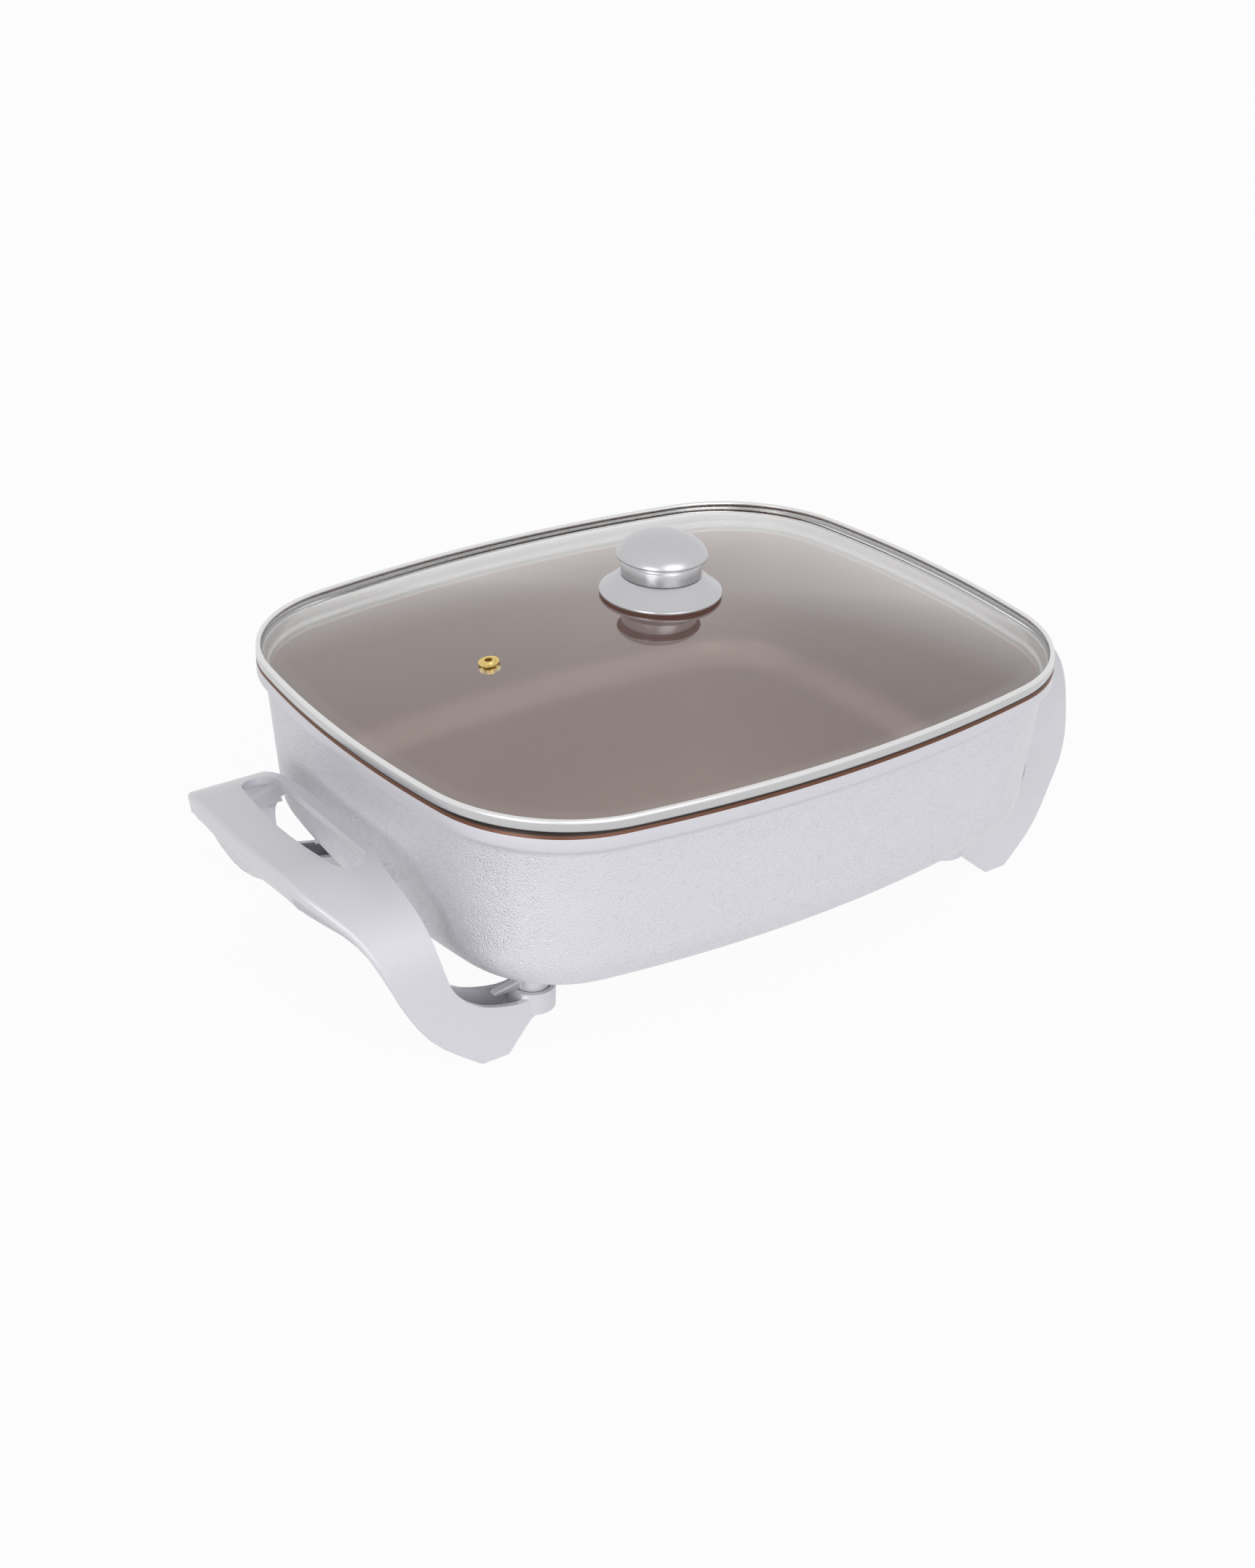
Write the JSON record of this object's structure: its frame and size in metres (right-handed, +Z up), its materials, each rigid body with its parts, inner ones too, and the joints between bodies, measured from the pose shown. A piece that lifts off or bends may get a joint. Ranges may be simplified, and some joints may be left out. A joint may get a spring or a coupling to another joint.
{
  "type": "electric skillet",
  "caption": "Deep rounded-rectangular electric frying pan on two arched handles that form its legs, with a lift-off domed glass lid, round knob and steam vent.",
  "frame": {"origin": "on the table, under the middle of the pan", "axes": "+X from the middle towards the plug end and the right-hand handle, +Y towards the back long side, +Z up"},
  "size_m": [0.513, 0.326, 0.209],
  "materials": {
    "pan_metal": "cast aluminium, fine hammered silver paint outside, copper-toned non-stick coating inside and on the rim",
    "silver_plastic": "satin pearl silver",
    "lid_glass": "clear tempered glass",
    "band_steel": "polished stainless steel",
    "bright_steel": "plated",
    "element_steel": "oxidised tube",
    "brass": "polished",
    "ceramic": "matt",
    "dark_washer": "matt",
    "seal_rubber": "matt"
  },
  "bodies": {
    "base": {"pan": "pan_metal", "heating_element": "element_steel", "terminal_pins": "bright_steel", "terminal_insulators": "ceramic", "probe_sleeve": "bright_steel", "terminal_guard": "bright_steel", "guard_screws": "bright_steel", "left_handle": "silver_plastic", "left_grip_underside": "silver_plastic", "left_grip_screws": "bright_steel", "left_leg_washers": "dark_washer", "left_leg_screws": "bright_steel", "right_handle": "silver_plastic", "right_grip_underside": "silver_plastic", "right_grip_screws": "bright_steel", "right_leg_washers": "dark_washer", "right_leg_screws": "bright_steel"},
    "lid": {"lid_glass": "lid_glass", "lid_band": "band_steel", "vent_eyelet": "brass", "vent_washer": "brass", "knob_flange": "silver_plastic", "knob_head": "silver_plastic", "knob_insert": "brass", "knob_seal": "seal_rubber", "knob_washer": "bright_steel", "knob_screw": "bright_steel"}
  },
  "joints": [
    {"name": "lid_lift", "type": "slide", "parent": "base", "child": "lid", "axis": [0, 0, 1], "range_m": [0, 0.12]}
  ]
}
